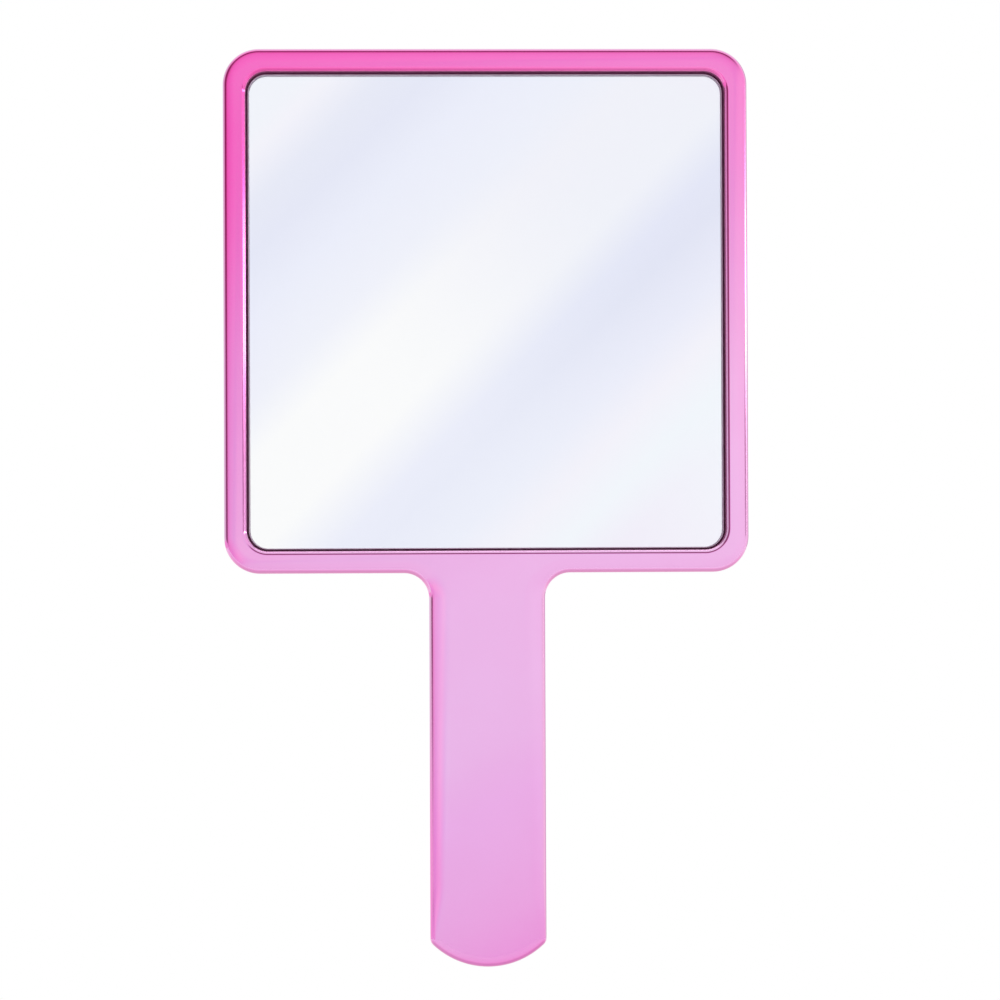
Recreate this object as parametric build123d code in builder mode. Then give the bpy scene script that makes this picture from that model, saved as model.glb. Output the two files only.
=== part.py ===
"""Square hand mirror for a hair salon: two moulded shells, a silvered pane and the tape that holds it.

The mirror stands upright: +Z runs along the handle towards the head, the mirror face looks along -Y,
and the origin is the middle of the grip. Every place through the thickness is a "level", measured
from the middle of the thickness towards the face.
"""

import os

from build123d import *

# ---------------------------------------------------------------- driving dimensions, mm
HEAD_SIZE = 140.0  # the head is a square
HEAD_CORNER_R = 9.6
HANDLE_WIDTH = 31.0
HANDLE_LENGTH = 105.0  # from the head's lower edge to the tip
HANDLE_END_R = 21.4  # the arc that ends the handle
HANDLE_CORNER_R = 2.4  # where the handle's sides meet that arc
NECK_R = 6.7  # inside corners between head and handle
THICKNESS = 11.0

BEZEL_WIDTH = 6.0  # from the outline to the wall of the glass pocket
FACE_EDGE_R = 1.2  # outer edge of the face
POCKET_EDGE_R = 1.25  # rounded lip of the pocket
BACK_EDGE_R = 2.5  # outer edge of the back

GLASS_RECESS = 2.0  # the pane lies this far below the face
GLASS_THICKNESS = 2.0
GLASS_GAP = 0.6  # between the pane and the pocket's wall
GLASS_DROP = 0.12  # the pane sits this much nearer the handle than the pocket's middle
GLASS_CORNER_R = 5.0
GLASS_ARRIS = 0.2  # ground edges, front and back
SILVER_THICKNESS = 0.05
SILVER_INSET = 0.2  # the film stops this far inside the pane's edge
PAINT_THICKNESS = 0.1

TAPE_THICKNESS = 0.85
TAPE_WIDTH = 12.0
TAPE_LENGTH = 96.0  # the strips across the top and the bottom
TAPE_INSET = 6.0  # from the pane's edge to a strip's outer edge
TAPE_CLEARANCE = 6.0  # between a side strip's end and the strip across it

WALL = 1.8  # outer wall, face and back
POCKET_WALL = 1.5
TRAY_FLOOR = 1.6
SEAM_HEIGHT = 0.15  # each shell gives half of the shadow line at the seam
SEAM_DEPTH = 0.2

TONGUE_THICKNESS = 0.8
TONGUE_HEIGHT = 1.4
FIT_CLEARANCE = 0.05  # tongue in groove and pin in socket, each side

PIN_R = 1.0
PIN_HEIGHT = 3.5  # above the seam
PIN_CHAMFER = 0.3
SOCKET_DEPTH = 4.0
BOSS_R = 2.1
POST_R = 2.0
CORNER_PIN_INSET = 5.4  # from the head's sides to a corner pin
HANDLE_PIN_PITCH = 26.0
HANDLE_PIN_COUNT = 4

RIB_THICKNESS = 1.2
RIB_CLEARANCE = 0.1  # between the back cover's ribs and posts and the front frame
HEAD_RIB_PITCH = 42.0
HEAD_RIB_COUNT = 3
FACE_RIB_DEPTH = 1.6  # the handle's front ribs stand this far in from the face wall

# ---------------------------------------------------------------- worked-out sizes
FACE_LEVEL = THICKNESS / 2
BACK_LEVEL = -THICKNESS / 2
GLASS_BACK = FACE_LEVEL - GLASS_RECESS - GLASS_THICKNESS
SILVER_BACK = GLASS_BACK - SILVER_THICKNESS
PAINT_BACK = SILVER_BACK - PAINT_THICKNESS
TAPE_BACK = PAINT_BACK - TAPE_THICKNESS
SEAM_LEVEL = TAPE_BACK - TRAY_FLOOR

HANDLE_HALF_WIDTH = HANDLE_WIDTH / 2
HANDLE_END_RISE = HANDLE_END_R - (HANDLE_END_R**2 - HANDLE_HALF_WIDTH**2) ** 0.5
HANDLE_TIP = -HANDLE_LENGTH / 2
HANDLE_SIDE_END = HANDLE_TIP + HANDLE_END_RISE
HEAD_BOTTOM = HANDLE_LENGTH / 2
HEAD_CENTRE = HEAD_BOTTOM + HEAD_SIZE / 2

POCKET_SIZE = HEAD_SIZE - 2 * BEZEL_WIDTH
POCKET_CORNER_R = GLASS_CORNER_R + GLASS_GAP
GLASS_SIZE = POCKET_SIZE - 2 * GLASS_GAP
SILVER_SIZE = GLASS_SIZE - 2 * SILVER_INSET
GLASS_CENTRE = HEAD_CENTRE - GLASS_DROP
TAPE_OFFSET = GLASS_SIZE / 2 - TAPE_INSET - TAPE_WIDTH / 2
SIDE_TAPE_LENGTH = GLASS_SIZE - 2 * (TAPE_INSET + TAPE_WIDTH + TAPE_CLEARANCE)

CORNER_PIN_SPACING = HEAD_SIZE - 2 * CORNER_PIN_INSET
HANDLE_INNER_WIDTH = HANDLE_WIDTH - 2 * WALL
HANDLE_RIB_COUNT = HANDLE_PIN_COUNT - 1
SPINE_LENGTH = HANDLE_PIN_PITCH * HANDLE_RIB_COUNT


# ---------------------------------------------------------------- shared profiles
def at_level(level, height=0.0):
    """Plane across the thickness, x to the right and y up the mirror, its origin at a height."""
    return Plane(origin=(0, -level, height), x_dir=(1, 0, 0), z_dir=(0, -1, 0))


def mirror_outline():
    """The outline of head and handle together, as one face."""
    with BuildSketch() as handle:
        with BuildLine():
            Polyline(
                (-HANDLE_HALF_WIDTH, HANDLE_SIDE_END),
                (-HANDLE_HALF_WIDTH, HEAD_BOTTOM),
                (HANDLE_HALF_WIDTH, HEAD_BOTTOM),
                (HANDLE_HALF_WIDTH, HANDLE_SIDE_END),
            )
            ThreePointArc(
                (HANDLE_HALF_WIDTH, HANDLE_SIDE_END),
                (0, HANDLE_TIP),
                (-HANDLE_HALF_WIDTH, HANDLE_SIDE_END),
            )
        make_face()
        fillet(handle.vertices().group_by(Axis.Y)[0], HANDLE_CORNER_R)
    with BuildSketch() as outline:
        with Locations((0, HEAD_CENTRE)):
            RectangleRounded(HEAD_SIZE, HEAD_SIZE, HEAD_CORNER_R)
        add(handle.sketch)
        neck_corners = outline.vertices().filter_by_position(
            Axis.X, -HANDLE_HALF_WIDTH, HANDLE_HALF_WIDTH
        ).group_by(Axis.Y)
        fillet(neck_corners[-1], NECK_R)
    return outline.sketch


OUTLINE = mirror_outline()


def inset_outline(distance):
    """The outline moved inwards, for walls, grooves and tongues."""
    return offset(OUTLINE, -distance, mode=Mode.PRIVATE)


def corner_pins():
    """The four pin places in the head's corners, on a plane whose origin is the head's middle."""
    return GridLocations(CORNER_PIN_SPACING, CORNER_PIN_SPACING, 2, 2)


def handle_pins():
    """The pin places along the middle of the handle."""
    return GridLocations(HANDLE_PIN_PITCH, HANDLE_PIN_PITCH, 1, HANDLE_PIN_COUNT)


def handle_ribs():
    """The places of the cross ribs, halfway between the handle's pins."""
    return GridLocations(HANDLE_PIN_PITCH, HANDLE_PIN_PITCH, 1, HANDLE_RIB_COUNT)


# ---------------------------------------------------------------- front frame
with BuildPart() as front_frame:
    # the bezel, the neck and the front half of the handle, as one rounded plate
    with BuildSketch(at_level(SEAM_LEVEL + SEAM_HEIGHT)):
        add(OUTLINE)
    extrude(amount=FACE_LEVEL - SEAM_LEVEL - SEAM_HEIGHT)
    fillet(front_frame.faces().sort_by(Axis.Y)[0].edges(), FACE_EDGE_R)
    with BuildSketch(at_level(SEAM_LEVEL)):
        add(inset_outline(SEAM_DEPTH))
    extrude(amount=SEAM_HEIGHT)

    # the glass pocket with its rounded lip
    with BuildSketch(at_level(FACE_LEVEL, HEAD_CENTRE)):
        RectangleRounded(POCKET_SIZE, POCKET_SIZE, POCKET_CORNER_R)
    extrude(amount=TAPE_BACK - FACE_LEVEL, mode=Mode.SUBTRACT)
    face = front_frame.faces().sort_by(Axis.Y)[0]
    fillet(face.inner_wires()[0].edges(), POCKET_EDGE_R)

    # the hollow behind the bezel and the handle's face, round the outside of the glass tray
    with BuildSketch(at_level(SEAM_LEVEL)):
        add(inset_outline(WALL))
        with Locations((0, HEAD_CENTRE)):
            RectangleRounded(
                POCKET_SIZE + 2 * POCKET_WALL,
                POCKET_SIZE + 2 * POCKET_WALL,
                POCKET_CORNER_R + POCKET_WALL,
                mode=Mode.SUBTRACT,
            )
    extrude(amount=FACE_LEVEL - WALL - SEAM_LEVEL, mode=Mode.SUBTRACT)

    # ribs behind the handle's face: one spine and the cross ribs
    with BuildSketch(at_level(FACE_LEVEL - WALL - FACE_RIB_DEPTH)):
        Rectangle(RIB_THICKNESS, SPINE_LENGTH)
        with handle_ribs():
            Rectangle(HANDLE_INNER_WIDTH, RIB_THICKNESS)
    extrude(amount=FACE_RIB_DEPTH)

    # bosses with a socket for each of the back cover's pins
    with BuildSketch(at_level(SEAM_LEVEL)):
        with handle_pins():
            Circle(BOSS_R)
    extrude(amount=FACE_LEVEL - WALL - SEAM_LEVEL)
    with BuildSketch(at_level(SEAM_LEVEL, HEAD_CENTRE)):
        with corner_pins():
            Circle(BOSS_R)
    extrude(amount=FACE_LEVEL - WALL - SEAM_LEVEL)
    with BuildSketch(at_level(SEAM_LEVEL)):
        with handle_pins():
            Circle(PIN_R + FIT_CLEARANCE)
    extrude(amount=SOCKET_DEPTH, mode=Mode.SUBTRACT)
    with BuildSketch(at_level(SEAM_LEVEL, HEAD_CENTRE)):
        with corner_pins():
            Circle(PIN_R + FIT_CLEARANCE)
    extrude(amount=SOCKET_DEPTH, mode=Mode.SUBTRACT)

    # the groove that takes the back cover's tongue
    with BuildSketch(at_level(SEAM_LEVEL)):
        add(inset_outline(WALL - TONGUE_THICKNESS - FIT_CLEARANCE))
        add(inset_outline(WALL + FIT_CLEARANCE), mode=Mode.SUBTRACT)
    extrude(amount=TONGUE_HEIGHT + FIT_CLEARANCE, mode=Mode.SUBTRACT)
front_frame.part.label = "front_frame"


# ---------------------------------------------------------------- back cover
with BuildPart() as back_cover:
    with BuildSketch(at_level(BACK_LEVEL)):
        add(OUTLINE)
    extrude(amount=SEAM_LEVEL - SEAM_HEIGHT - BACK_LEVEL)
    fillet(back_cover.faces().sort_by(Axis.Y)[-1].edges(), BACK_EDGE_R)
    with BuildSketch(at_level(SEAM_LEVEL - SEAM_HEIGHT)):
        add(inset_outline(SEAM_DEPTH))
    extrude(amount=SEAM_HEIGHT)
    with BuildSketch(at_level(BACK_LEVEL + WALL)):
        add(inset_outline(WALL))
    extrude(amount=SEAM_LEVEL - BACK_LEVEL - WALL, mode=Mode.SUBTRACT)

    # the tongue that locates the cover in the front frame's groove
    with BuildSketch(at_level(SEAM_LEVEL)):
        add(inset_outline(WALL - TONGUE_THICKNESS))
        add(inset_outline(WALL), mode=Mode.SUBTRACT)
    extrude(amount=TONGUE_HEIGHT)

    # ribs that carry the glass tray and stiffen the handle
    with BuildSketch(at_level(BACK_LEVEL + WALL, HEAD_CENTRE)):
        with GridLocations(HEAD_RIB_PITCH, HEAD_RIB_PITCH, HEAD_RIB_COUNT, 1):
            Rectangle(RIB_THICKNESS, HEAD_SIZE - 2 * WALL)
        with GridLocations(HEAD_RIB_PITCH, HEAD_RIB_PITCH, 1, HEAD_RIB_COUNT):
            Rectangle(HEAD_SIZE - 2 * WALL, RIB_THICKNESS)
    extrude(amount=SEAM_LEVEL - RIB_CLEARANCE - BACK_LEVEL - WALL)
    with BuildSketch(at_level(BACK_LEVEL + WALL)):
        Rectangle(RIB_THICKNESS, SPINE_LENGTH)
        with handle_ribs():
            Rectangle(HANDLE_INNER_WIDTH, RIB_THICKNESS)
    extrude(amount=SEAM_LEVEL - RIB_CLEARANCE - BACK_LEVEL - WALL)

    # a post with a locating pin for each of the front frame's sockets
    with BuildSketch(at_level(BACK_LEVEL + WALL)):
        with handle_pins():
            Circle(POST_R)
    extrude(amount=SEAM_LEVEL - RIB_CLEARANCE - BACK_LEVEL - WALL)
    with BuildSketch(at_level(BACK_LEVEL + WALL, HEAD_CENTRE)):
        with corner_pins():
            Circle(POST_R)
    extrude(amount=SEAM_LEVEL - RIB_CLEARANCE - BACK_LEVEL - WALL)
    with BuildSketch(at_level(BACK_LEVEL + WALL)):
        with handle_pins():
            Circle(PIN_R)
    extrude(amount=SEAM_LEVEL + PIN_HEIGHT - BACK_LEVEL - WALL)
    with BuildSketch(at_level(BACK_LEVEL + WALL, HEAD_CENTRE)):
        with corner_pins():
            Circle(PIN_R)
    extrude(amount=SEAM_LEVEL + PIN_HEIGHT - BACK_LEVEL - WALL)
    pin_ends = back_cover.faces().filter_by(Axis.Y).group_by(Axis.Y)[0]
    chamfer(pin_ends.edges(), PIN_CHAMFER)
back_cover.part.label = "back_cover"


# ---------------------------------------------------------------- silvered pane
with BuildPart() as mirror_glass:
    with BuildSketch(at_level(GLASS_BACK, GLASS_CENTRE)):
        RectangleRounded(GLASS_SIZE, GLASS_SIZE, GLASS_CORNER_R)
    extrude(amount=GLASS_THICKNESS)
    chamfer(mirror_glass.faces().filter_by(Axis.Y).edges(), GLASS_ARRIS)
mirror_glass.part.label = "mirror_glass"

with BuildPart() as silver_layer:
    with BuildSketch(at_level(SILVER_BACK, GLASS_CENTRE)):
        RectangleRounded(SILVER_SIZE, SILVER_SIZE, GLASS_CORNER_R - SILVER_INSET)
    extrude(amount=SILVER_THICKNESS)
silver_layer.part.label = "silver_layer"

with BuildPart() as backing_paint:
    with BuildSketch(at_level(PAINT_BACK, GLASS_CENTRE)):
        RectangleRounded(SILVER_SIZE, SILVER_SIZE, GLASS_CORNER_R - SILVER_INSET)
    extrude(amount=PAINT_THICKNESS)
backing_paint.part.label = "backing_paint"


# ---------------------------------------------------------------- foam tape
def tape_strip(name, across, up, width, height):
    """One strip of double-sided tape between the pane's paint and the floor of the tray."""
    with BuildPart() as strip:
        with BuildSketch(at_level(TAPE_BACK, GLASS_CENTRE)):
            with Locations((across, up)):
                Rectangle(width, height)
        extrude(amount=TAPE_THICKNESS)
    strip.part.label = name
    return strip.part


tape_strips = [
    tape_strip("tape_top", 0, TAPE_OFFSET, TAPE_LENGTH, TAPE_WIDTH),
    tape_strip("tape_bottom", 0, -TAPE_OFFSET, TAPE_LENGTH, TAPE_WIDTH),
    tape_strip("tape_left", -TAPE_OFFSET, 0, TAPE_WIDTH, SIDE_TAPE_LENGTH),
    tape_strip("tape_right", TAPE_OFFSET, 0, TAPE_WIDTH, SIDE_TAPE_LENGTH),
]


# ---------------------------------------------------------------- files, one for each piece
os.makedirs("parts", exist_ok=True)
export_step(front_frame.part, "parts/front_frame.step")
export_step(back_cover.part, "parts/back_cover.step")
export_step(mirror_glass.part, "parts/mirror_glass.step")
export_step(silver_layer.part, "parts/silver_layer.step")
export_step(backing_paint.part, "parts/backing_paint.step")
for strip in tape_strips:
    export_step(strip, f"parts/{strip.label}.step")
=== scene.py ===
"""Looks for the square hand mirror: pink metallised shells, a silvered pane and a white studio.

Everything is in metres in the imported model's own frame: the handle runs along +Z towards the head,
and the mirror faces along -Y.
"""

import math

import bmesh
import bpy
from mathutils import Euler, Matrix, Vector


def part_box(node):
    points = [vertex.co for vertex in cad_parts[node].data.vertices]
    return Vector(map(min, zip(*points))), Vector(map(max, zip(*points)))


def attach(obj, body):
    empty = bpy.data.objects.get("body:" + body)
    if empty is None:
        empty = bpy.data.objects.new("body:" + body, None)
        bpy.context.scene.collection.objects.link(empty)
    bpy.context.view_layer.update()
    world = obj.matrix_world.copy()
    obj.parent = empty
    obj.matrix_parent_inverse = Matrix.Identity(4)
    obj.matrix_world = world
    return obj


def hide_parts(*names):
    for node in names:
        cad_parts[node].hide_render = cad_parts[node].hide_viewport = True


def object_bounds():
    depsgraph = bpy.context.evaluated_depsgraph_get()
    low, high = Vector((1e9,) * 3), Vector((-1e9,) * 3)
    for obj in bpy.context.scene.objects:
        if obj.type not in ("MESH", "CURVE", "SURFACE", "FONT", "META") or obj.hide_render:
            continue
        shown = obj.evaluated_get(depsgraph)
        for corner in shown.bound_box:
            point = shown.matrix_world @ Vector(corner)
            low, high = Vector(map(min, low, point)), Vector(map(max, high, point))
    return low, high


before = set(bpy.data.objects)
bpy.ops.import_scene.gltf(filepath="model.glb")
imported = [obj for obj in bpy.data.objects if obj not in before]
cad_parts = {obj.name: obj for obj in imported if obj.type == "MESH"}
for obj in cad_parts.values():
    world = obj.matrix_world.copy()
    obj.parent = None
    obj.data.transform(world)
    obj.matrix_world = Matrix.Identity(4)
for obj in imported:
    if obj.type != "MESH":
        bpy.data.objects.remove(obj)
cad_low, cad_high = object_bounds()

# ---------------------------------------------------------------- sizes, metres
MM = 0.001

frame_low, frame_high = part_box("front_frame")
pane_low, pane_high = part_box("mirror_glass")
silver_low, silver_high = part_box("silver_layer")

FACE_Y = frame_low.y
SEAM_Y = frame_high.y
BACK_Y = cad_high.y
TRAY_FLOOR_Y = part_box("tape_top")[1].y
HEAD_HALF = frame_high.x
HEAD_CENTRE = frame_high.z - HEAD_HALF
HEAD_BOTTOM = frame_high.z - 2 * HEAD_HALF
HANDLE_TIP = frame_low.z

HEAD_CORNER_R = 9.6 * MM
HANDLE_HALF = 15.5 * MM
HANDLE_END_R = 21.4 * MM
HANDLE_CORNER_R = 2.4 * MM
NECK_R = 6.7 * MM

EDGE_R = 1.2 * MM  # outer edge of the face
HEAD_SHOULDER = (2.6 * MM, 0.15 * MM)  # width and drop of the soft slope inside that edge
HANDLE_SHOULDER = (4.6 * MM, 0.3 * MM)
TIP_SHOULDER = (2.2 * MM, 0.08 * MM)
TIP_BLEND = 16 * MM  # length of side over which the tip's slope turns into the handle's
SUPPORT = 0.1 * MM  # rings this far inside a flat keep its shading flat
STRAIGHT_SUPPORT = 0.4 * MM  # points this far from the ends of a straight run do the same

PANE_HALF = (pane_high.x - pane_low.x) / 2
PANE_CORNER_R = 5.0 * MM
PANE_REACH = 0.4  # share of the silver's thickness that the pane's back reaches into
ARRIS = 0.2 * MM

POCKET_GAP = 0.6 * MM  # between the pane and the pocket's wall
POCKET_HALF = PANE_HALF + POCKET_GAP
POCKET_CORNER_R = 5.6 * MM
LIP_R = 1.25 * MM
POCKET_WALL = 1.5 * MM
WALL = 1.8 * MM
SEAM_HEIGHT = 0.15 * MM
SEAM_DEPTH = 0.2 * MM
GROOVE_INSET = 0.95 * MM
GROOVE_DEPTH = 1.45 * MM

END_STEPS = 24
CORNER_STEPS = 10
TIP_BLEND_STEPS = 12
NECK_STEPS = 20
HEAD_CORNER_STEPS = 22
EDGE_STEPS = 10
SHOULDER_STEPS = 8
LIP_STEPS = 12

SAME_PLACE = 1e-7  # points nearer than this are one
SHARP_ANGLE = math.radians(30)


# ---------------------------------------------------------------- outlines
def mix(a, b, share):
    return a + (b - a) * share


def smooth(share):
    return share * share * (3 - 2 * share)


def arc(centre, radius, start, end, steps):
    """Points of an arc in the x-z plane, with its angles in degrees from +x towards +z."""
    points = []
    for i in range(steps + 1):
        angle = math.radians(mix(start, end, i / steps))
        points.append((centre[0] + radius * math.cos(angle), centre[1] + radius * math.sin(angle)))
    return points


def supports(a, b):
    """Two points close to the ends of the straight run from a to b."""
    share = STRAIGHT_SUPPORT / math.dist(a, b)
    return [tuple(mix(p, q, s) for p, q in zip(a, b)) for s in (share, 1 - share)]


def handle_points(side_inset, tip_inset):
    """Right side of the handle from tip to neck, with each point's share of the side's profile."""
    side = HANDLE_HALF - tip_inset
    end_r = HANDLE_END_R - tip_inset
    corner_r = max(HANDLE_CORNER_R - tip_inset, 0)
    end_centre = (0, HANDLE_TIP + HANDLE_END_R)
    corner_x = side - corner_r
    corner_drop = math.sqrt((end_r - corner_r) ** 2 - corner_x**2)
    turn = -math.degrees(math.atan2(corner_drop, corner_x))
    points = arc(end_centre, end_r, -90, turn, END_STEPS)
    corner_z = end_centre[1] - corner_drop
    points += arc((corner_x, corner_z), corner_r, turn, 0, CORNER_STEPS)[1:]
    shares = [0.0] * len(points)
    for i in range(1, TIP_BLEND_STEPS + 1):
        share = smooth(i / TIP_BLEND_STEPS)
        x = HANDLE_HALF - mix(tip_inset, side_inset, share)
        points.append((x, corner_z + TIP_BLEND * i / TIP_BLEND_STEPS))
        shares.append(share)
    side_top = (HANDLE_HALF - side_inset, HEAD_BOTTOM - NECK_R)
    return points + supports(points[-1], side_top), shares + [1.0, 1.0]


def neck_points(head_inset, handle_inset):
    """The concave corner between handle and head, with each point's share of the head's profile."""
    points = []
    shares = []
    for i in range(NECK_STEPS + 1):
        share = smooth(i / NECK_STEPS)
        radius = NECK_R + mix(handle_inset, head_inset, share)
        angle = math.radians(180 - 90 * i / NECK_STEPS)
        x = HANDLE_HALF + NECK_R + radius * math.cos(angle)
        z = HEAD_BOTTOM - NECK_R + radius * math.sin(angle)
        points.append((x, z))
        shares.append(share)
    return points, shares


def head_points(inset, start):
    """Right side of the head's outline, from the neck to the middle of its top edge."""
    reach = HEAD_HALF - HEAD_CORNER_R
    radius = HEAD_CORNER_R - inset
    lower = arc((reach, HEAD_CENTRE - reach), radius, -90, 0, HEAD_CORNER_STEPS)
    upper = arc((reach, HEAD_CENTRE + reach), radius, 0, 90, HEAD_CORNER_STEPS)
    top = (0, HEAD_CENTRE + HEAD_HALF - inset)
    points = supports(start, lower[0]) + lower
    points += supports(lower[-1], upper[0]) + upper
    return points + supports(upper[-1], top)[:1] + [top]


def outline_ring(head, handle, tip):
    """A closed ring round head and handle; head, handle and tip are each an (inset, y) pair."""
    lower, lower_shares = handle_points(handle[0], tip[0])
    neck, neck_shares = neck_points(head[0], handle[0])
    upper = head_points(head[0], neck[-1])
    depths = [mix(tip[1], handle[1], share) for share in lower_shares]
    depths += [mix(handle[1], head[1], share) for share in neck_shares]
    depths += [head[1]] * len(upper)
    right = [Vector((x, y, z)) for (x, z), y in zip(lower + neck + upper, depths)]
    left = [Vector((-p.x, p.y, p.z)) for p in reversed(right[1:-1])]
    return right + left


def even_ring(inset, y):
    return outline_ring((inset, y), (inset, y), (inset, y))


def square_ring(half, radius, y, centre_z=HEAD_CENTRE):
    """A closed ring round a square with rounded corners."""
    reach = half - radius
    points = []
    for quarter, (x, z) in enumerate(((1, -1), (1, 1), (-1, 1), (-1, -1))):
        centre = (x * reach, centre_z + z * reach)
        corner = arc(centre, radius, 90 * quarter - 90, 90 * quarter, HEAD_CORNER_STEPS)
        if points:
            points += supports(points[-1], corner[0])
        points += corner
    points += supports(points[-1], points[0])
    return [Vector((x, y, z)) for x, z in points]


# ---------------------------------------------------------------- mesh helpers
def skin(bm, rings, material_index):
    """Joins rings of equally many points with quads."""
    made = [[bm.verts.new(p) for p in ring] for ring in rings]
    for a, b in zip(made, made[1:]):
        for i in range(len(a)):
            j = (i + 1) % len(a)
            face = bm.faces.new((a[i], a[j], b[j], b[i]))
            face.material_index = material_index


def weld(bm):
    bmesh.ops.remove_doubles(bm, verts=bm.verts, dist=SAME_PLACE)


def cap(bm, y, material_index):
    """Closes the open loops that lie at y."""
    loops = [
        edge
        for edge in bm.edges
        if edge.is_boundary and all(abs(v.co.y - y) < SAME_PLACE for v in edge.verts)
    ]
    made = bmesh.ops.triangle_fill(bm, use_beauty=True, edges=loops)["geom"]
    for face in made:
        if isinstance(face, bmesh.types.BMFace):
            face.material_index = material_index


def piece_from(bm, name, materials, replaced):
    """Makes a riding piece from a closed mesh, smooth except across its real corners."""
    bmesh.ops.recalc_face_normals(bm, faces=bm.faces)
    mesh = bpy.data.meshes.new(name)
    bm.to_mesh(mesh)
    bm.free()
    mesh.shade_smooth()
    mesh.set_sharp_from_angle(angle=SHARP_ANGLE)
    for material in materials:
        mesh.materials.append(material)
    piece = bpy.data.objects.new(name, mesh)
    bpy.context.scene.collection.objects.link(piece)
    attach(piece, "root")
    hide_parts(replaced)


# ---------------------------------------------------------------- node helpers
def feed(tree, socket, source):
    """Links an output to a socket, or sets the socket's own value."""
    if isinstance(source, bpy.types.NodeSocket):
        tree.links.new(source, socket)
    else:
        socket.default_value = source


def compute(tree, operation, *inputs):
    node = tree.nodes.new("ShaderNodeMath")
    node.operation = operation
    for socket, source in zip(node.inputs, inputs):
        feed(tree, socket, source)
    return node.outputs[0]


def dot(tree, vector, axis):
    node = tree.nodes.new("ShaderNodeVectorMath")
    node.operation = "DOT_PRODUCT"
    feed(tree, node.inputs[0], vector)
    feed(tree, node.inputs[1], axis)
    return node.outputs["Value"]


def spread(tree, value, low, high, out_low=0.0, out_high=1.0, kind="SMOOTHSTEP"):
    """Maps low..high to out_low..out_high, held at the ends."""
    node = tree.nodes.new("ShaderNodeMapRange")
    node.interpolation_type = kind
    for socket, source in zip(node.inputs, (value, low, high, out_low, out_high)):
        feed(tree, socket, source)
    return node.outputs[0]


def ramp(tree, factor, low, high, stops):
    """A colour for each place between low and high; stops are (place, (r, g, b)) pairs."""
    node = tree.nodes.new("ShaderNodeValToRGB")
    feed(tree, node.inputs[0], spread(tree, factor, low, high, kind="LINEAR"))
    elements = node.color_ramp.elements
    while len(elements) < len(stops):
        elements.new(1.0)
    for element, (place, colour) in zip(elements, stops):
        element.position = (place - low) / (high - low)
        element.color = (*colour, 1.0)
    return node.outputs[0]


def blend(tree, factor, a, b, kind="MIX"):
    node = tree.nodes.new("ShaderNodeMix")
    node.data_type = "RGBA"
    node.blend_type = kind
    feed(tree, node.inputs["Factor"], factor)
    feed(tree, node.inputs[6], a)
    feed(tree, node.inputs[7], b)
    return node.outputs[2]


def noise(tree, vector, scale, detail=3.0, roughness=0.5):
    node = tree.nodes.new("ShaderNodeTexNoise")
    feed(tree, node.inputs["Vector"], vector)
    node.inputs["Scale"].default_value = scale
    node.inputs["Detail"].default_value = detail
    node.inputs["Roughness"].default_value = roughness
    return node.outputs["Fac"]


def bump(tree, height, strength, distance):
    node = tree.nodes.new("ShaderNodeBump")
    node.inputs["Strength"].default_value = strength
    node.inputs["Distance"].default_value = distance
    feed(tree, node.inputs["Height"], height)
    return node.outputs[0]


def band(tree, value, rise_start, rise_end, fall_start, fall_end):
    """1 between rise_end and fall_start, falling softly to 0 outside."""
    rise = spread(tree, value, rise_start, rise_end)
    fall = spread(tree, value, fall_start, fall_end, 1.0, 0.0)
    return compute(tree, "MULTIPLY", rise, fall)


def product(tree, *factors):
    total = factors[0]
    for factor in factors[1:]:
        total = compute(tree, "MULTIPLY", total, factor)
    return total


def new_material(name, **values):
    """An empty Principled material, its constant inputs set, with its object coordinates."""
    material = bpy.data.materials.new(name)
    material.use_nodes = True
    tree = material.node_tree
    tree.nodes.clear()
    shader = tree.nodes.new("ShaderNodeBsdfPrincipled")
    output = tree.nodes.new("ShaderNodeOutputMaterial")
    tree.links.new(shader.outputs[0], output.inputs["Surface"])
    for socket, value in values.items():
        shader.inputs[socket.replace("_", " ")].default_value = value
    place = tree.nodes.new("ShaderNodeTexCoord").outputs["Object"]
    return material, tree, shader, place


def mottle(tree, shader, pattern, tints, roughness, low=0.2, high=0.8):
    """Lets a pattern vary the colour between two tints, and the roughness between two values."""
    feed(tree, shader.inputs["Base Color"], blend(tree, pattern, *tints))
    feed(tree, shader.inputs["Roughness"], spread(tree, pattern, low, high, *roughness))


# ---------------------------------------------------------------- materials
PAINTED_SHADING_DRIFT = (1.0, 0.0, -2.0)  # painted reflection and shade: the pink pales from the head's top left corner down to the grip
PAINTED_SHADING_START = -0.51
PAINTED_SHADING_END = 0.11
PAINTED_SHADING_TINTS = (
    (-0.51, (1.0, 0.105, 0.525)),
    (-0.45, (1.0, 0.108, 0.53)),
    (-0.41, (0.985, 0.140, 0.555)),
    (-0.38, (0.97, 0.165, 0.575)),
    (-0.307, (0.93, 0.225, 0.63)),
    (-0.255, (0.90, 0.275, 0.67)),
    (-0.20, (0.888, 0.355, 0.725)),
    (-0.165, (0.888, 0.415, 0.755)),
    (-0.138, (0.885, 0.455, 0.785)),
    (-0.105, (0.875, 0.477, 0.805)),
    (-0.08, (0.86, 0.487, 0.81)),
    (-0.03, (0.845, 0.493, 0.81)),
    (-0.01, (0.84, 0.485, 0.81)),
    (0.02, (0.835, 0.437, 0.80)),
    (0.055, (0.83, 0.410, 0.77)),
    (0.08, (0.83, 0.375, 0.74)),
    (0.11, (0.83, 0.298, 0.70)),
)
RIGHT_PAINTED_LIGHT = (1.09, 1.0, 1.0, 1.0)  # painted light: a little redder towards the right
UPPER_LEFT_SHADE = (1.0, 0.05, 0.49, 1.0)  # painted shade, deepest at the upper left
UPPER_LEFT_SHADE_SHARE = 0.58
UPPER_LEFT_SHADE_EDGE = -20 * MM  # it starts this far across, and grows to the left side
UPPER_LEFT_SHADE_HEIGHTS = (-20 * MM, 40 * MM, 45 * MM, HEAD_HALF)  # above the head's middle
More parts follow.
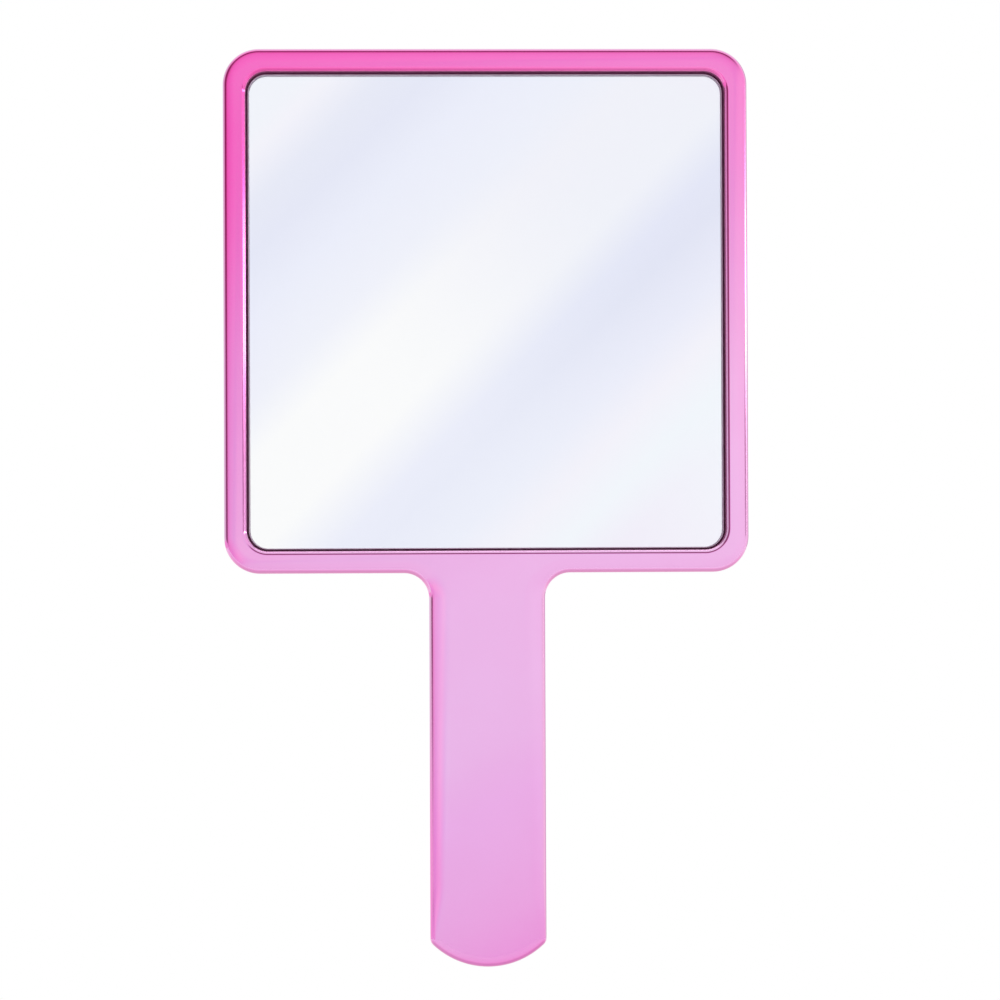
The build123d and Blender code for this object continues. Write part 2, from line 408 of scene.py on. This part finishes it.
PAINTED_EDGE_HIGHLIGHT = (0.93, 0.50, 0.74, 1.0)  # painted highlight: paler on the rounded outer edges
FRONT_HIGHLIGHT_SHARE = 0.85
FRONT_HIGHLIGHT_DEPTHS = (0.25 * MM, 0.5 * MM, 1.2 * MM, 1.8 * MM)  # behind the face
FRONT_HIGHLIGHT_REACH = (1.4 * MM, 2.4 * MM)  # outside the pocket's wall
BACK_HIGHLIGHT_SHARE = 0.4
BACK_HIGHLIGHT_DEPTHS = (-3.0 * MM, -2.0 * MM, -0.9 * MM, -0.4 * MM)  # in front of the back
CLOUD_TINT = (0.78, 0.20, 0.5, 1.0)
CLOUD_SHARE = 0.05
COAT_ROUGHNESS = (0.10, 0.14)

# the two tints that each other surface varies between
GLASS_TINTS = ((0.985, 0.995, 0.99, 1.0), (0.99, 0.99, 0.995, 1.0))
SEAMED_TINTS = ((0.90, 0.92, 0.97, 1.0), (0.96, 0.97, 1.0, 1.0))
GROUND_TINTS = ((0.82, 0.84, 0.91, 1.0), (0.90, 0.92, 0.97, 1.0))
# painted shade: dark tints for the pocket's recess
POCKET_SHADE_TINTS = ((0.46, 0.17, 0.32, 1.0), (0.56, 0.22, 0.40, 1.0))
SILVER_TINTS = ((0.955, 0.96, 0.965, 1.0), (0.965, 0.965, 0.97, 1.0))
PAINT_TINTS = ((0.16, 0.17, 0.19, 1.0), (0.21, 0.22, 0.24, 1.0))
FOAM_TINTS = ((0.0, (0.62, 0.61, 0.58)), (1.0, (0.85, 0.84, 0.8)))
GLASS_IOR = 1.52


def pink_metallised():
    """Vacuum metallised plastic under a pink lacquer, near-mirror with a faint satin grain."""
    material, tree, shader, place = new_material(
        "pink_metallised",
        Metallic=1.0,
        Coat_Weight=1.0,
        Coat_Roughness=0.04,
        Coat_IOR=1.7,
    )
    across = dot(tree, place, (1.0, 0.0, 0.0))
    depth = dot(tree, place, (0.0, 1.0, 0.0))
    rise = dot(tree, place, (0.0, 0.0, 1.0))
    # painted reflection and shade: the pink pales from the top left down to the grip
    shading_drift = dot(tree, place, PAINTED_SHADING_DRIFT)
    tint = ramp(tree, shading_drift, PAINTED_SHADING_START, PAINTED_SHADING_END, PAINTED_SHADING_TINTS)
    # painted light: redder towards the right
    right_light = spread(tree, across, -HEAD_HALF, HEAD_HALF, kind="LINEAR")
    tint = blend(tree, right_light, tint, RIGHT_PAINTED_LIGHT, "MULTIPLY")
    # painted shade: deepest pink at the head's upper left
    high = band(tree, rise, *(HEAD_CENTRE + height for height in UPPER_LEFT_SHADE_HEIGHTS))
    leftward = spread(tree, across, UPPER_LEFT_SHADE_EDGE, -HEAD_HALF, 0.0, UPPER_LEFT_SHADE_SHARE)
    tint = blend(tree, product(tree, high, leftward), tint, UPPER_LEFT_SHADE)
    # painted highlight: paler on the rounded outer edges of the face and of the back
    off_centre = compute(tree, "ABSOLUTE", compute(tree, "SUBTRACT", rise, HEAD_CENTRE))
    reach = compute(tree, "MAXIMUM", compute(tree, "ABSOLUTE", across), off_centre)
    reach_start, reach_end = (POCKET_HALF + distance for distance in FRONT_HIGHLIGHT_REACH)
    outside = spread(tree, reach, reach_start, reach_end, 0.0, FRONT_HIGHLIGHT_SHARE)
    front_highlight = band(tree, depth, *(FACE_Y + distance for distance in FRONT_HIGHLIGHT_DEPTHS))
    back_highlight = band(tree, depth, *(BACK_Y + distance for distance in BACK_HIGHLIGHT_DEPTHS))
    front_highlight = product(tree, front_highlight, outside)
    edge_highlight = compute(tree, "MULTIPLY_ADD", back_highlight, BACK_HIGHLIGHT_SHARE, front_highlight)
    tint = blend(tree, edge_highlight, tint, PAINTED_EDGE_HIGHLIGHT)
    cloud = noise(tree, place, scale=60.0, detail=4.0)
    tint = blend(tree, spread(tree, cloud, 0.3, 0.7, 0.0, CLOUD_SHARE), tint, CLOUD_TINT)
    feed(tree, shader.inputs["Base Color"], tint)
    haze = noise(tree, place, scale=140.0, detail=5.0, roughness=0.6)
    roughness = spread(tree, haze, 0.3, 0.7, *COAT_ROUGHNESS, kind="LINEAR")
    feed(tree, shader.inputs["Roughness"], roughness)
    grain = noise(tree, place, scale=2600.0, detail=2.0)
    feed(tree, shader.inputs["Normal"], bump(tree, grain, strength=0.12, distance=0.02 * MM))
    return material


def clear_glass():
    """Polished float glass with the faintest smudges."""
    material, tree, shader, place = new_material(
        "clear_glass",
        Transmission_Weight=1.0,
        IOR=GLASS_IOR,
    )
    shade = noise(tree, place, scale=25.0, detail=2.0)
    feed(tree, shader.inputs["Base Color"], blend(tree, shade, *GLASS_TINTS))
    smudge = noise(tree, place, scale=45.0, detail=4.0, roughness=0.6)
    feed(tree, shader.inputs["Roughness"], spread(tree, smudge, 0.45, 0.8, 0.0, 0.012))
    return material


def seamed_glass():
    """The narrow frosted arris round the pane."""
    material, tree, shader, place = new_material(
        "seamed_glass",
        Transmission_Weight=0.2,
        IOR=GLASS_IOR,
    )
    marks = noise(tree, place, scale=900.0, detail=4.0, roughness=0.6)
    mottle(tree, shader, marks, SEAMED_TINTS, roughness=(0.4, 0.55))
    return material


def ground_edge():
    """The pane's ground sides, which look pale from inside the glass too."""
    material, tree, shader, place = new_material("ground_edge")
    patch = noise(tree, place, scale=300.0)
    mottle(tree, shader, patch, GROUND_TINTS, roughness=(0.5, 0.7))
    feed(tree, shader.inputs["Normal"], bump(tree, patch, strength=0.3, distance=0.05 * MM))
    return material


def pocket_shade_plastic():
    """Dark plastic inside the pocket: painted shade of the recess."""
    material, tree, shader, place = new_material("pocket_shade_plastic")
    patch = noise(tree, place, scale=200.0)
    mottle(tree, shader, patch, POCKET_SHADE_TINTS, roughness=(0.45, 0.6))
    return material


def silver():
    """The reflecting film, with the slightest unevenness."""
    material, tree, shader, place = new_material("silver", Metallic=1.0)
    patch = noise(tree, place, scale=18.0)
    mottle(tree, shader, patch, SILVER_TINTS, roughness=(0.0, 0.01), low=0.3, high=0.7)
    return material


def grey_paint():
    """The sprayed coat on the back of the silver."""
    material, tree, shader, place = new_material("grey_paint")
    orange_peel = noise(tree, place, scale=900.0)
    patch = noise(tree, place, scale=40.0, detail=4.0)
    mottle(tree, shader, patch, PAINT_TINTS, roughness=(0.5, 0.65))
    feed(tree, shader.inputs["Normal"], bump(tree, orange_peel, strength=0.4, distance=0.05 * MM))
    return material


def white_foam():
    """Closed-cell foam tape."""
    material, tree, shader, place = new_material("white_foam")
    cells = tree.nodes.new("ShaderNodeTexVoronoi")
    cells.inputs["Scale"].default_value = 2200.0
    feed(tree, cells.inputs["Vector"], place)
    distance = cells.outputs["Distance"]
    feed(tree, shader.inputs["Base Color"], ramp(tree, distance, 0.0, 1.0, FOAM_TINTS))
    feed(tree, shader.inputs["Roughness"], spread(tree, distance, 0.0, 1.0, 0.95, 0.75))
    feed(tree, shader.inputs["Normal"], bump(tree, distance, strength=0.6, distance=0.1 * MM))
    return material


# ---------------------------------------------------------------- front frame
def face_profile(shoulder):
    """(inset, y) pairs from the top of the outer wall over the rounded edge to the flat face."""
    width, drop = shoulder
    slope = math.atan(2 * drop / width)
    centre_y = FACE_Y + drop + EDGE_R * math.cos(slope)
    profile = []
    for i in range(EDGE_STEPS + 1):
        angle = mix(math.pi / 2, slope, i / EDGE_STEPS)
        profile.append((EDGE_R * (1 - math.sin(angle)), centre_y - EDGE_R * math.cos(angle)))
    edge_inset = profile[-1][0]
    for i in range(1, SHOULDER_STEPS + 1):
        share = i / SHOULDER_STEPS
        profile.append((edge_inset + width * share, FACE_Y + drop * (1 - share) ** 2))
    profile.append((edge_inset + width + SUPPORT, FACE_Y))
    return profile


def lip_rings():
    """The pocket's lip, from the flat face round to the pocket's wall."""
    rings = [square_ring(POCKET_HALF + LIP_R + SUPPORT, POCKET_CORNER_R + LIP_R + SUPPORT, FACE_Y)]
    for i in range(LIP_STEPS + 1):
        angle = math.pi / 2 * i / LIP_STEPS
        grow = LIP_R * (1 - math.sin(angle))
        y = FACE_Y + LIP_R * (1 - math.cos(angle))
        rings.append(square_ring(POCKET_HALF + grow, POCKET_CORNER_R + grow, y))
    return rings


COATED = 0
SHADED_POCKET = 1


def make_front_frame(coat, pocket_shade):
    """The front shell, from its inner wall round the seam and over the face into the pocket."""
    bm = bmesh.new()
    ceiling_y = FACE_Y + WALL
    shell = [
        even_ring(WALL, ceiling_y),
        even_ring(WALL, SEAM_Y - GROOVE_DEPTH),
        even_ring(GROOVE_INSET, SEAM_Y - GROOVE_DEPTH),
        even_ring(GROOVE_INSET, SEAM_Y),
        even_ring(SEAM_DEPTH, SEAM_Y),
        even_ring(SEAM_DEPTH, SEAM_Y - SEAM_HEIGHT),
        even_ring(0, SEAM_Y - SEAM_HEIGHT),
        even_ring(0, SEAM_Y - SEAM_HEIGHT - SUPPORT),
    ]
    shoulders = (HEAD_SHOULDER, HANDLE_SHOULDER, TIP_SHOULDER)
    shell += [outline_ring(*places) for places in zip(*map(face_profile, shoulders))]
    skin(bm, shell, COATED)
    lip = lip_rings()
    skin(bm, lip, COATED)
    # the pocket's wall and floor get the dark plastic, a painted shade of the recess
    skin(bm, [lip[-1], square_ring(POCKET_HALF, POCKET_CORNER_R, TRAY_FLOOR_Y)], SHADED_POCKET)
    tray_half = POCKET_HALF + POCKET_WALL
    tray_r = POCKET_CORNER_R + POCKET_WALL
    tray = [square_ring(tray_half, tray_r, ceiling_y), square_ring(tray_half, tray_r, SEAM_Y)]
    skin(bm, tray, COATED)
    weld(bm)
    for y in (FACE_Y, ceiling_y, SEAM_Y):
        cap(bm, y, COATED)
    cap(bm, TRAY_FLOOR_Y, SHADED_POCKET)
    piece_from(bm, "pink_front_frame", [coat, pocket_shade], "front_frame")


# ---------------------------------------------------------------- pane
POLISHED = 0
SEAMED = 1
GROUND = 2


def make_pane(materials):
    """The pane with ground edges; its back just reaches into the silver, so no air lies between."""
    centre_z = (pane_high.z + pane_low.z) / 2
    back_y = mix(silver_low.y, silver_high.y, PANE_REACH)
    places = (
        (ARRIS + SUPPORT, pane_low.y),
        (ARRIS, pane_low.y),
        (0, pane_low.y + ARRIS),
        (0, pane_high.y - ARRIS),
        (ARRIS, back_y),
        (ARRIS + SUPPORT, back_y),
    )
    rings = [
        square_ring(PANE_HALF - inset, PANE_CORNER_R - inset, y, centre_z) for inset, y in places
    ]
    bm = bmesh.new()
    skin(bm, rings[:2], POLISHED)
    skin(bm, rings[1:3], SEAMED)
    skin(bm, rings[2:5], GROUND)
    skin(bm, rings[4:], POLISHED)
    weld(bm)
    for y in (pane_low.y, back_y):
        cap(bm, y, POLISHED)
    piece_from(bm, "glass_pane", materials, "mirror_glass")


# ---------------------------------------------------------------- studio
# soft diagonal streaks in front of the mirror, by slant: (right - up) / ahead
STREAK_LIMIT = 0.30
STREAKS_TURN = (0.02, 0.18)  # (right + up) / ahead where the lower ones turn into the upper ones
SHARED_STREAKS = (
    (-0.205, (0.93, 0.947, 1.0)),
    (-0.196, (0.947, 0.94, 1.0)),
    (-0.177, (0.845, 0.862, 0.965)),
    (-0.160, (0.828, 0.845, 0.965)),
    (-0.137, (0.879, 0.895, 1.0)),
)
LOWER_STREAKS = SHARED_STREAKS + (
    (-0.107, (0.92, 0.93, 1.0)),
    (-0.087, (1.01, 1.01, 1.01)),
    (-0.052, (1.01, 1.01, 1.01)),
    (-0.026, (0.878, 0.893, 0.995)),
    (-0.012, (0.862, 0.880, 0.985)),
    (0.014, (0.893, 0.91, 1.0)),
    (0.034, (0.947, 0.935, 1.0)),
    (0.054, (0.935, 0.965, 1.01)),
    (0.074, (0.93, 0.885, 0.98)),
    (0.14, (0.935, 0.895, 0.985)),
)
UPPER_STREAKS = SHARED_STREAKS + (
    (-0.107, (0.90, 0.915, 1.0)),
    (-0.087, (0.925, 0.925, 0.99)),
    (-0.046, (0.92, 0.93, 0.99)),
    (-0.026, (0.82, 0.84, 0.97)),
    (-0.012, (0.80, 0.82, 0.95)),
    (0.014, (0.87, 0.88, 0.99)),
    (0.034, (0.947, 0.935, 1.0)),
    (0.054, (0.93, 0.965, 1.01)),
    (0.094, (0.96, 0.985, 1.03)),
)

# what each side of the studio shows, by degrees away from the mirror's own axis
FRONT = (0.50, 0.50, 0.50)
SIDE = (0.50, 0.52, 0.50)
BEHIND = (0.50, 0.50, 0.51)
DARK = (0.14, 0.05, 0.09)
ABOVE_STOPS = (
    (10, FRONT),
    (13, (0.51, 0.45, 0.495)),
    (19, (0.50, 0.40, 0.475)),
    (22, (0.47, 0.31, 0.41)),
    (25, (0.42, 0.26, 0.34)),
    (30, DARK),
    (51, DARK),
    (60, SIDE),
    (180, BEHIND),
)
LEFT_STOPS = (
    (4, FRONT),
    (10, (0.495, 0.46, 0.495)),
    (14, (0.485, 0.39, 0.465)),
    (17, (0.48, 0.31, 0.43)),
    (20, (0.45, 0.24, 0.35)),
    (26, DARK),
    (61, DARK),
    (72, (0.40, 0.41, 0.40)),
    (110, (0.42, 0.42, 0.42)),
    (180, BEHIND),
)
GRIP_LEFT_STOPS = (  # the left side again, level with the handle
    (2, FRONT),
    (5, (0.505, 0.44, 0.49)),
    (8, (0.515, 0.405, 0.48)),
    (12, (0.55, 0.37, 0.46)),
    (15, (0.52, 0.29, 0.42)),
    (19, (0.48, 0.22, 0.34)),
    (27, DARK),
    (56, DARK),
    (67, (0.42, 0.43, 0.42)),
    (180, BEHIND),
)
RIGHT_STOPS = (
    (7, FRONT),
    (14, (0.50, 0.47, 0.49)),
    (40, (0.50, 0.44, 0.47)),
    (105, (0.50, 0.44, 0.47)),
    (116, (0.30, 0.22, 0.26)),
    (130, (0.30, 0.22, 0.26)),
    (145, BEHIND),
)
BELOW_STOPS = (
    (8, FRONT),
    (30, (0.47, 0.44, 0.46)),
    (105, (0.44, 0.40, 0.42)),
    (145, BEHIND),
)
MIN_AHEAD = 0.2  # the least that a slant is divided by, for directions at the sides and behind
MIN_ACROSS = 0.001  # likewise straight ahead, for how far a direction is to the side or up
SIDE_BLEND = 0.05  # left turns into right, and below into above, over this much each way
ENDS_BLEND = (0.3, 0.7)  # the sides turn into above and below, by (up / across) squared
GRIP_LEFT_HEIGHTS = (-0.8, -1.5)  # heights here are degrees above the horizon
LOW_LEFT = (0.51, 0.28, 0.42, 1.0)  # further down on the left
LOW_LEFT_HEIGHTS = (-3.0, -6.5)
LOW_LEFT_DEGREES = (11.0, 18.0)
SHADED_RIGHT = (0.15, 0.06, 0.10, 1.0)  # a dark strip under the softbox
SHADED_HEIGHTS = (-1.0, 0.2, 2.2, 2.8)
SHADED_DEGREES = (22.0, 27.0, 48.0, 55.0)
SOFTBOX = (4.5, 4.5, 4.5, 1.0)
SOFTBOX_HEIGHTS = (2.9, 3.4, 6.0, 6.7)
SOFTBOX_DEGREES = (46.0, 52.0, 82.0, 88.0)
SOFTBOX_SIDE = (0.2, 0.5)
SURROUND_LEVEL = (2.0, 2.0, 2.0, 1.0)  # the stops above are in parts of this
WHITE = (1.0, 1.0, 1.0, 1.0)


def in_degrees(tree, operation, value):
    """The angle whose sine or cosine is the value."""
    return compute(tree, "MULTIPLY", compute(tree, operation, value), 180 / math.pi)


def studio_world():
    """A white studio by direction: bright ahead with soft streaks, darker at the sides."""
    world = bpy.data.worlds.new("studio")
    bpy.context.scene.world = world
    world.use_nodes = True
    tree = world.node_tree
    tree.nodes.clear()
    direction = tree.nodes.new("ShaderNodeTexCoord").outputs["Generated"]
    front = dot(tree, direction, (0, -1, 0))
    right = dot(tree, direction, (1, 0, 0))
    up = dot(tree, direction, (0, 0, 1))
    degrees = in_degrees(tree, "ARCCOSINE", front)
    height = in_degrees(tree, "ARCSINE", up)
    across = compute(tree, "SUBTRACT", 1.0, product(tree, front, front))
    across = compute(tree, "MAXIMUM", compute(tree, "SQRT", across), MIN_ACROSS)
    side = compute(tree, "DIVIDE", right, across)
    rise = compute(tree, "DIVIDE", up, across)

    ahead = compute(tree, "MAXIMUM", front, MIN_AHEAD)
    slant = compute(tree, "DIVIDE", compute(tree, "SUBTRACT", right, up), ahead)
    upward = compute(tree, "DIVIDE", compute(tree, "ADD", right, up), ahead)
    lower_streaks = ramp(tree, slant, -STREAK_LIMIT, STREAK_LIMIT, LOWER_STREAKS)
    upper_streaks = ramp(tree, slant, -STREAK_LIMIT, STREAK_LIMIT, UPPER_STREAKS)
    streaks = blend(tree, spread(tree, upward, *STREAKS_TURN), lower_streaks, upper_streaks)

    stops = (ABOVE_STOPS, BELOW_STOPS, LEFT_STOPS, GRIP_LEFT_STOPS, RIGHT_STOPS)
    above, below, left, grip_left, right_side = (ramp(tree, degrees, 0, 180, s) for s in stops)
    left = blend(tree, spread(tree, height, *GRIP_LEFT_HEIGHTS), left, grip_left)
    low = spread(tree, height, *LOW_LEFT_HEIGHTS)
    beside = spread(tree, degrees, *LOW_LEFT_DEGREES)
    left = blend(tree, product(tree, low, beside), left, LOW_LEFT)
    shaded = product(
        tree,
        band(tree, height, *SHADED_HEIGHTS),
        band(tree, degrees, *SHADED_DEGREES),
    )
    right_side = blend(tree, shaded, right_side, SHADED_RIGHT)
    sides = blend(tree, spread(tree, side, -SIDE_BLEND, SIDE_BLEND), left, right_side)
    ends = blend(tree, spread(tree, rise, -SIDE_BLEND, SIDE_BLEND), below, above)
    surround = blend(tree, spread(tree, product(tree, rise, rise), *ENDS_BLEND), sides, ends)
    surround = blend(tree, 1.0, surround, SURROUND_LEVEL, "MULTIPLY")
    seen = blend(tree, 1.0, surround, streaks, "MULTIPLY")

    softbox = product(
        tree,
        band(tree, height, *SOFTBOX_HEIGHTS),
        band(tree, degrees, *SOFTBOX_DEGREES),
        spread(tree, side, *SOFTBOX_SIDE),
    )
    seen = blend(tree, softbox, seen, SOFTBOX)

    path = tree.nodes.new("ShaderNodeLightPath")
    colour = blend(tree, path.outputs["Is Camera Ray"], seen, WHITE)
    background = tree.nodes.new("ShaderNodeBackground")
    output = tree.nodes.new("ShaderNodeOutputWorld")
    feed(tree, background.inputs["Color"], colour)
    background.inputs["Strength"].default_value = 1.0
    tree.links.new(background.outputs[0], output.inputs["Surface"])


FLOOR_Z = HANDLE_TIP - 0.3
FLOOR_HALF = 1.5
FLOOR_GLOW = 0.15
FLOOR_PAINTED_SHADOW = (  # painted shadow, tinted pink, of the mirror on the floor below it, by distance from the mirror
    (0.0, (0.66, 0.43, 0.55)),
    (0.3, (0.68, 0.45, 0.57)),
    (0.7, (0.88, 0.62, 0.76)),
    (1.3, (0.95, 0.92, 0.94)),
)
FLOOR_SHADE = (0.7, 0.7, 0.7, 1.0)
FLOOR_SHADE_SHARE = 0.05


def make_floor():
    """A pale floor that the camera sees as white."""
    material, tree, shader, place = new_material("pale_floor", Roughness=0.8)
    away = tree.nodes.new("ShaderNodeVectorMath")
    away.operation = "DISTANCE"
    feed(tree, away.inputs[0], place)
    away.inputs[1].default_value = (0.0, 0.0, FLOOR_Z)
    tint = ramp(tree, away.outputs["Value"], 0.0, FLOOR_HALF, FLOOR_PAINTED_SHADOW)
    shade = noise(tree, place, scale=3.0, detail=2.0)
    shaded = spread(tree, shade, 0.3, 0.7, 0.0, FLOOR_SHADE_SHARE)
    feed(tree, shader.inputs["Base Color"], blend(tree, shaded, tint, FLOOR_SHADE))
    path = tree.nodes.new("ShaderNodeLightPath")
    shader.inputs["Emission Color"].default_value = WHITE
    glow = spread(tree, path.outputs["Is Camera Ray"], 0.0, 1.0, FLOOR_GLOW, 1.0, "LINEAR")
    feed(tree, shader.inputs["Emission Strength"], glow)
    bm = bmesh.new()
    corners = ((-1, -1), (1, -1), (1, 1), (-1, 1))
    bm.faces.new([bm.verts.new((x * FLOOR_HALF, y * FLOOR_HALF, FLOOR_Z)) for x, y in corners])
    mesh = bpy.data.meshes.new("floor")
    bm.to_mesh(mesh)
    bm.free()
    mesh.materials.append(material)
    floor = bpy.data.objects.new("floor", mesh)
    bpy.context.scene.collection.objects.link(floor)


# ---------------------------------------------------------------- camera and light
CAMERA_DISTANCE = 0.75  # from the face
CAMERA_X = -13.2 * MM
CAMERA_Z = 66.6 * MM
CAMERA_LENS = 101.34  # mm, as the sensor
CAMERA_SENSOR = 36.0
CAMERA_CLIP_START = 0.01
CAMERA_YAW = math.radians(-1.276)
CAMERA_PITCH = math.radians(90.406)
CAMERA_ROLL = math.radians(0.237)

LIGHT_SIZE = 1.2
LIGHT_POWER = 3.0  # watts
LIGHT_PLACE = (0, FACE_Y - 0.3, HEAD_CENTRE + 1.0)


def make_camera():
    data = bpy.data.cameras.new("camera")
    data.lens = CAMERA_LENS
    data.sensor_width = CAMERA_SENSOR
    data.clip_start = CAMERA_CLIP_START
    camera = bpy.data.objects.new("camera", data)
    camera.location = (CAMERA_X, FACE_Y - CAMERA_DISTANCE, CAMERA_Z)
    turn = Euler((CAMERA_PITCH, 0, CAMERA_YAW)).to_matrix() @ Matrix.Rotation(-CAMERA_ROLL, 3, "Z")
    camera.rotation_euler = turn.to_euler()
    bpy.context.scene.collection.objects.link(camera)
    bpy.context.scene.camera = camera


def make_light():
    """A wide soft light overhead; the shiny surfaces reflect the studio instead of it."""
    data = bpy.data.lights.new("overhead", "AREA")
    data.size = LIGHT_SIZE
    data.energy = LIGHT_POWER
    light = bpy.data.objects.new("overhead", data)
    light.location = LIGHT_PLACE
    light.visible_glossy = False
    light.visible_camera = False
    bpy.context.scene.collection.objects.link(light)


def finish_cad_node(node, material):
    """Gives a CAD piece that keeps its own mesh its material."""
    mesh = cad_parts[node].data
    mesh.materials.clear()
    mesh.materials.append(material)


# ---------------------------------------------------------------- the scene
pink = pink_metallised()
make_front_frame(pink, pocket_shade_plastic())
make_pane([clear_glass(), seamed_glass(), ground_edge()])
finish_cad_node("back_cover", pink)
finish_cad_node("silver_layer", silver())
finish_cad_node("backing_paint", grey_paint())
foam = white_foam()
for side in ("top", "bottom", "left", "right"):
    finish_cad_node("tape_" + side, foam)
studio_world()
make_floor()
make_light()
make_camera()
bpy.context.scene.view_settings.view_transform = "Standard"
